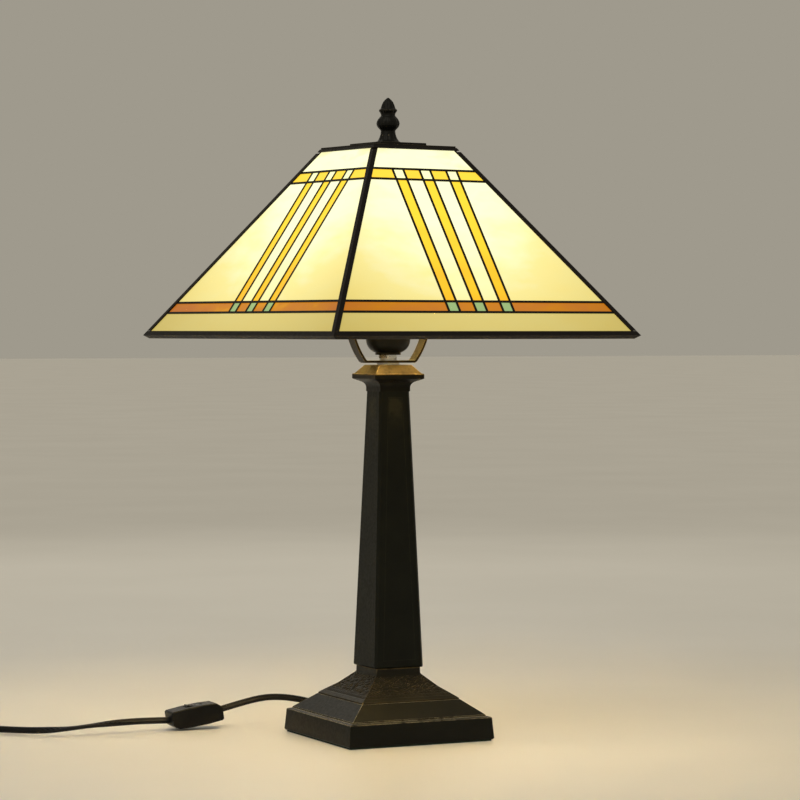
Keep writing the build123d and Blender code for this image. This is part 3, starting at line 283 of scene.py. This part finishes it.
for names, material in (
    (["column_shaft"], bronze),
    (["capital"], capital_bronze_painted_glow),
    (["base_plinth"], plinth_bronze_painted_highlight),
    (["harp", "harp_swivel"], harp_bronze),
    (["socket_cap", "socket_shell"], socket_bronze),
    (["cames_front", "cames_right", "cames_back", "cames_left", "corner_cames", "bottom_rim",
      "top_rim"], lead),
    (["shade_cap"], cap_bronze),
    (["glass_field"], field_glass),
    (["glass_bottom_band", "glass_top_band"], band_glass),
    (["glass_stripes_cream"], stripe_glass),
    (["glass_stripes_amber"], amber_glass),
    (["glass_upper_border"], upper_glass),
    (["glass_lower_border"], lower_glass),
    (["glass_lower_squares"], jade_glass),
    (["glass_upper_squares"], pale_glass),
    (["lead_wires", "coil_tie"], flex),
    (["cord_bushing", "plug_body"], plug_plastic),
    (["switch_top_shell", "switch_bottom_shell"], switch_plastic),
    (["switch_rocker"], rocker_plastic),
    (["socket_liner"], fibre),
    (["socket_core"], ceramic),
    (["bulb_insulator"], black_glass),
    (["felt_pad"], felt),
    (["base_cover", "cover_screws", "lamp_pipe", "pipe_washers", "switch_screws"], zinc),
    (["pipe_nuts"], silver),
    (["socket_screw_shell", "socket_contact", "terminal_screws", "finial_insert", "switch_contacts",
      "plug_blades"], brass),
    (["bulb_cap", "bulb_contact"], cap_metal),
    (["base_weight"], iron),
    (["bulb_envelope"], lamp_glow("lit bulb", (1.0, 0.74, 0.36), 120.0)),
    (["bulb_filament"], lamp_glow("hot filament", (1.0, 0.7, 0.3), 40.0)),
    (["bulb_stem"], plastic("stem glass", (0.8, 0.8, 0.78), 0.1, grain=200, strength=0.02)),
):
    wear_on(names, material)

# ---- lofted meshes -----------------------------------------------------------------------------


def lofted(name, rings, material, body, node, closed=True):
    """Smooth mesh through rings of equally many points, given in millimetres. Either the last ring
    joins the first, or each end is closed by one face."""
    across = len(rings[0])
    points = [point for ring in rings for point in ring]
    faces = []
    for low in range(len(rings) if closed else len(rings) - 1):
        high = (low + 1) % len(rings)
        for i in range(across):
            j = (i + 1) % across
            faces.append((low * across + i, low * across + j, high * across + j, high * across + i))
    if not closed:
        faces.append(tuple(range(across))[::-1])
        faces.append(tuple((len(rings) - 1) * across + i for i in range(across)))
    mesh = bpy.data.meshes.new(name)
    mesh.from_pydata([tuple(Vector(point) * MM) for point in points], [], faces)
    mesh.polygons.foreach_set("use_smooth", [True] * len(faces))
    mesh.materials.append(material)
    made = linked(name, mesh)
    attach(made, body)
    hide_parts(node)
    return made


def between(levels, step):
    """Points along straight runs between (size, height) levels, no further apart than step."""
    path = []
    for (r0, z0), (r1, z1) in zip(levels, levels[1:]):
        count = max(1, round(((r1 - r0) ** 2 + (z1 - z0) ** 2) ** 0.5 / step))
        path += [(r0 + (r1 - r0) * i / count, z0 + (z1 - z0) * i / count) for i in range(count)]
    return path + [levels[-1]]


# ---- hammered canopy ---------------------------------------------------------------------------

# outline as (half width, height) in millimetres
PLINTH_TOP_Z, NECK_Z, COLUMN_FOOT_Z = 33.6, 53.7, 59.6
CANOPY_FOOT, SLOPE_FOOT = (44.6, PLINTH_TOP_Z), (44.5, 34.8)
BORDER_FOOT, BORDER_TOP = (41.2, 37.2), (37.4, 39.8)
SHOULDER, NECK, NECK_TOP = (31.6, 43.8), (20.7, NECK_Z), [(20.2, 54.5), (20.1, COLUMN_FOOT_Z)]
PIPE_HOLE, INSIDE_TOP_Z = 5.2, 46.5
INSIDE = [(21.0, INSIDE_TOP_Z), (36.0, 34.8), (38.0, PLINTH_TOP_Z)]
SIDE_STEPS = 168
PLAIN_STEP, MARKED_STEP, NECK_STEP = 0.4, 0.36, 1.2
CHISEL_DEPTH, CHISEL_DISH = 0.75, 0.45
CHISEL_LEANS = (0.75, -0.35)  # radians
GROOVE_DEPTH, TICK_DEPTH, TICK_PITCH = 0.5, 0.4, 3.1
EDGE_FADE = 1.3
NORMAL_OUT, NORMAL_UP = 0.65, 0.75


def chisel(across, up):
    """Depth of the random overlapping gouge marks at a place on the canopy's slope, in millimetres."""
    wander = noise.noise(Vector((across * 0.05, up * 0.05, 3.7)))
    lean = CHISEL_LEANS[0] if wander > 0 else CHISEL_LEANS[1]
    along = across * cos(lean) + up * sin(lean)
    side = up * cos(lean) - across * sin(lean)
    near, other = noise.voronoi(Vector((along * 0.14, side * 0.36, 9.1)))[0][:2]
    return max(0.0, 1 - (other - near) / 0.22) * CHISEL_DEPTH - CHISEL_DISH * max(0.0, 0.5 - near)


def border(across, share):
    """Depth on the narrow border strip: a groove along each side and small ticks across it."""
    groove = GROOVE_DEPTH * (exp(-((share - 0.12) / 0.08) ** 2) + exp(-((share - 0.9) / 0.08) ** 2))
    tick = 0.0
    if 0.2 < share < 0.82:
        tick = TICK_DEPTH * exp(-(((across / TICK_PITCH) % 1 - 0.5) / 0.14) ** 2)
    return max(groove, tick)


def canopy_ring(half, height):
    """Square ring of the canopy's outside, with its marks cut in along the face's normal."""
    ring = []
    for side in range(4):
        turn = radians(90 * side)
        for step in range(SIDE_STEPS):
            across = half * (2 * step / SIDE_STEPS - 1)
            fade = min(1.0, (half - abs(across)) / EDGE_FADE)
            depth = 0.0
            if BORDER_FOOT[1] < height < BORDER_TOP[1]:
                share = (height - BORDER_FOOT[1]) / (BORDER_TOP[1] - BORDER_FOOT[1])
                depth = border(across + 100, share) * fade
            elif BORDER_TOP[1] <= height < NECK_Z:
                rise = min(1.0, (NECK_Z - height) / 1.0, (height - BORDER_TOP[1]) / 0.6)
                depth = chisel(across + 200 * side, half * 1.4) * fade * max(0.0, rise)
            out = half - depth * NORMAL_OUT
            z = height - depth * NORMAL_UP
            ring.append((across * cos(turn) + out * sin(turn), across * sin(turn) - out * cos(turn), z))
    return ring


def plain_ring(half, height, round_hole=False):
    """Square or round ring with the canopy rings' point count."""
    ring = []
    for x, y, z in canopy_ring(half, PLINTH_TOP_Z):
        scale = half / (x * x + y * y) ** 0.5 if round_hole else 1.0
        ring.append((x * scale, y * scale, height))
    return ring


outer = between([CANOPY_FOOT, SLOPE_FOOT, BORDER_FOOT], PLAIN_STEP)[:-1]
outer += between([BORDER_FOOT, BORDER_TOP, SHOULDER, NECK], MARKED_STEP)[:-1]
outer += between([NECK] + NECK_TOP, NECK_STEP)
canopy_rings = [canopy_ring(half, height) for half, height in outer]
canopy_rings += [plain_ring(PIPE_HOLE, height, True) for height in (COLUMN_FOOT_Z, INSIDE_TOP_Z)]
canopy_rings += [plain_ring(half, height) for half, height in INSIDE]
lofted("hammered_canopy", canopy_rings, cast_bronze, "lamp", "base_canopy")

# ---- cast finial -------------------------------------------------------------------------------

FINIAL_Z = 499.15
FINIAL_STEPS = 144
BORE_RADIUS, BORE_DEPTH = 4.25, 11.6
BELLY_LEAVES, BELLY_Z, BELLY_TOP_Z, BELLY_TWIST = 10, 16.8, 22.6, 0.35
# radius and height up the finial, in millimetres
FINIAL_OUTLINE = [
    (10.3, 0.0), (10.8, 0.35), (10.75, 0.9), (9.2, 2.2), (8.1, 3.7), (7.3, 5.4), (6.6, 7.6), (6.1, 10.0),
    (6.3, 11.0), (7.3, 12.1), (8.7, 13.6), (9.6, 15.2), (9.85, 16.9), (9.5, 18.6), (8.6, 20.3), (7.4, 21.8),
    (6.4, 22.8), (6.0, 23.7), (6.3, 24.9), (7.1, 26.2), (7.9, 27.2), (7.95, 28.0), (7.1, 28.7), (6.3, 29.4),
    (5.9, 31.0), (5.2, 33.0), (4.2, 34.9), (2.9, 36.4), (1.7, 37.5), (0.8, 38.2), (0.12, 38.5),
]
# cast relief up the finial: height, number of leaves round it, and depth
RELIEF = [(0.0, 8, 0.0), (3.0, 8, 0.55), (9.0, 8, 0.35), (11.0, BELLY_LEAVES, 0.0),
          (BELLY_Z, BELLY_LEAVES, 0.95), (BELLY_TOP_Z, BELLY_LEAVES, 0.0), (27.6, 8, 1.0),
          (29.0, 8, 0.1), (31.5, 8, 0.5), (37.0, 8, 0.15), (38.5, 8, 0.0)]


def relief(height, angle):
    """Depth between the cast leaves at a height and angle round the finial, in millimetres."""
    for (z0, _, d0), (z1, count, d1) in zip(RELIEF, RELIEF[1:]):
        if height <= z1:
            depth = d0 + (d1 - d0) * (height - z0) / (z1 - z0)
            twist = 0.0
            if count == BELLY_LEAVES:
                twist = BELLY_TWIST * (height - BELLY_Z) / (BELLY_TOP_Z - BELLY_Z)
            wave = abs(cos(count * angle / 2 + twist))
            return depth * (1 - wave ** 0.7) + depth * 0.35 * max(0.0, 1 - abs(1 - wave) / 0.04)
    return 0.0


def round_ring(radius, height, cut=0.0):
    """Ring of the finial at a height above its foot, with its relief cut in by a share."""
    ring = []
    for i in range(FINIAL_STEPS):
        turn = 2 * pi * i / FINIAL_STEPS
        out = radius - cut * relief(height, turn)
        ring.append((out * cos(turn), out * sin(turn), FINIAL_Z + height))
    return ring


bore = [round_ring(BORE_RADIUS, height) for height in (BORE_DEPTH, 0.0)]
finial_rings = [round_ring(radius, height, 1.0) for radius, height in between(FINIAL_OUTLINE, 0.45)]
lofted("cast_finial", bore + finial_rings, finial_bronze, "finial", "finial", closed=False)

# ---- lead --------------------------------------------------------------------------------------

FLEX_WIDE, FLEX_THICK, FLEX_GROOVE = 5.6, 3.2, 0.8
PROFILE_STEPS = 28
COIL_CENTRE = (-316.5, 241.5)
COIL_IN, COIL_TURNS, STEPS_PER_TURN = -137.4, 6.19, 20
LOWER_TURNS, UPPER_TURNS, TURN_PITCH = 3.0, 2.0, 3.4
OUTER_TURN, INNER_TURN, CLIMB_DRIFT = 38.6, 28.4, 1.7
BOTTOM_Z, TOP_Z = 3.8, 9.8
TAIL_HEADING, PLUG_AWAY, PLUG_ASIDE, PLUG_Z = 64.2, 50, 4, 7.0
LAID_FLAT = (-255, -215)  # the x values between which the flex lies on its wide side
TO_SWITCH = [
    (0, 86.4, 11), (0, 98, 11), (-8.3, 112, 13.4), (-22.8, 119.5, 18), (-42, 119.5, 22), (-62, 117, 23.5),
    (-84, 114, 20.6), (-107.77, 112.31, 15.3),
]
TO_COIL = [
    (-153.23, 113.89, 8.5), (-172, 114.8, 9.2), (-196, 113.6, 9.3), (-222, 111, 8.4), (-246, 112.5, 6.4),
    (-266, 126, 4.6), (-283, 147, 3.8), (-300, 170, 3.3), (-320, 190, 3.4),
]


def flex_profile():
    """Outline of flat two-core flex: two round cores with a shallow groove between them."""
    core, offset = FLEX_THICK / 2, (FLEX_WIDE - FLEX_THICK) / 2
    outline = []
    for i in range(PROFILE_STEPS):
        turn = 2 * pi * i / PROFILE_STEPS
        if i in (0, PROFILE_STEPS // 2):
            side = 1 if i == 0 else -1
            outline += [(side * core, side * offset), (side * core * FLEX_GROOVE, 0),
                        (side * core, -side * offset)]
        else:
            outline.append((core * cos(turn), core * sin(turn) + (offset if sin(turn) > 0 else -offset)))
    curve = bpy.data.curves.new("flex_outline", "CURVE")
    curve.dimensions = "2D"
    ring = curve.splines.new("POLY")
    ring.points.add(len(outline) - 1)
    for point, (x, y) in zip(ring.points, outline):
        point.co = (x * MM, y * MM, 0, 1)
    ring.use_cyclic_u = True
    made = linked("flex_outline", curve)
    made.hide_render = True
    made.hide_set(True)
    return made


def coil_points():
    """Turns of the put-away coil: the lower layer winds in, climbs, and the upper layer winds out."""
    count = round(COIL_TURNS * STEPS_PER_TURN)
    points = []
    for i in range(count + 1):
        turns = COIL_TURNS * i / count
        angle = radians(COIL_IN - 360 * turns)
        climb = min(1, max(0, (turns - LOWER_TURNS) / (COIL_TURNS - LOWER_TURNS - UPPER_TURNS)))
        if turns < LOWER_TURNS:
            radius = OUTER_TURN - TURN_PITCH * turns
        elif climb < 1:
            radius = INNER_TURN + CLIMB_DRIFT * climb
        else:
            radius = INNER_TURN + CLIMB_DRIFT + TURN_PITCH * (turns - (COIL_TURNS - UPPER_TURNS))
        climb = climb * climb * (3 - 2 * climb)
        points.append((COIL_CENTRE[0] + radius * cos(angle), COIL_CENTRE[1] + radius * sin(angle),
                       BOTTOM_Z + (TOP_Z - BOTTOM_Z) * climb))
    return points


def tail_points(start):
    """The lead's last few centimetres, off the coil and into the back of the plug."""
    heading = radians(TAIL_HEADING)
    run, side = Vector((cos(heading), sin(heading), 0)), Vector((-sin(heading), cos(heading), 0))
    start = Vector(start)
    off_coil = start + run * 17 + Vector((0, 0, -0.4))
    midway = start + run * 34 + side * 3.4 + Vector((0, 0, -2.2))
    plug_back = start + run * PLUG_AWAY + side * PLUG_ASIDE
    plug_back.z = PLUG_Z
    return [tuple(off_coil), tuple(midway), tuple(plug_back)]


def lead_length(name, route, laid_flat=(), replaced=()):
    """One length of flat flex along a route in millimetres. It stands on edge, apart from where it is
    laid flat between two x values."""
    curve = bpy.data.curves.new(name, "CURVE")
    curve.dimensions = "3D"
    curve.twist_mode = "Z_UP"
    curve.bevel_mode = "OBJECT"
    curve.bevel_object = profile
    curve.use_fill_caps = True
    curve.resolution_u = 6
    spline = curve.splines.new("NURBS")
    spline.points.add(len(route) - 1)
    for point, place in zip(spline.points, route):
        point.co = (*(Vector(place) * MM), 1)
        if laid_flat and laid_flat[0] < place[0] < laid_flat[1]:
            point.tilt = pi / 2
    spline.order_u = 3
    spline.use_endpoint_u = True
    curve.materials.append(flex)
    made = linked(name, curve)
    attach(made, "lamp")
    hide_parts(*replaced)
    return made


profile = flex_profile()
coil = coil_points()
first_length = lead_length("lead_to_switch", TO_SWITCH, replaced=["cord_to_switch"])
second_length = lead_length("lead_to_plug", TO_COIL + coil + tail_points(coil[-1]), laid_flat=LAID_FLAT,
                            replaced=["cord_to_coil", "cord_coil", "cord_tail"])

# ---- studio ------------------------------------------------------------------------------------

FLOOR_HALF = 30
floor_corners = [(x * FLOOR_HALF, y * FLOOR_HALF, 0) for x, y in ((-1, -1), (1, -1), (1, 1), (-1, 1))]
floor_mesh = bpy.data.meshes.new("floor")
floor_mesh.from_pydata(floor_corners, [], [(0, 1, 2, 3)])
floor = linked("floor", floor_mesh)
pale = Material("pale floor", roughness=0.45)
pale.put(Base_Color=pale.ramp(pale.noise(3, 3), (0.3, (0.76, 0.73, 0.66)), (0.7, (0.80, 0.77, 0.70))))
floor_mesh.materials.append(pale.made)

world = bpy.data.worlds.new("studio")
world.use_nodes = True
world.node_tree.nodes["Background"].inputs["Color"].default_value = (0.56, 0.52, 0.43, 1)
world.node_tree.nodes["Background"].inputs["Strength"].default_value = 0.62
bpy.context.scene.world = world
bpy.context.scene.view_settings.view_transform = "Standard"


def soft_light(name, place, aim, size, power, colour):
    """Square area light in one place, aimed at another."""
    light = bpy.data.lights.new(name, "AREA")
    light.size, light.energy, light.color = size, power, colour
    made = linked(name, light)
    made.location = place
    made.rotation_euler = (Vector(aim) - Vector(place)).to_track_quat("-Z", "Y").to_euler()


LAMP_MIDDLE = (0, 0, 0.2)
overhead = linked("overhead", bpy.data.lights.new("overhead", "SUN"))
overhead.data.energy = 0.75
overhead.data.angle = radians(50)
overhead.data.color = (1.0, 0.97, 0.92)
overhead.rotation_euler = (radians(38), 0, radians(-48))
soft_light("side", (-1.8, -1.0, 1.1), LAMP_MIDDLE, 1.4, 2.2, (1.0, 0.97, 0.92))
soft_light("back", (0.6, 1.9, 1.4), LAMP_MIDDLE, 1.4, 5, (1.0, 0.95, 0.85))

# ---- end ---------------------------------------------------------------------------------------


def plain(box):
    """A box's corners as lists."""
    return [list(corner) for corner in box]
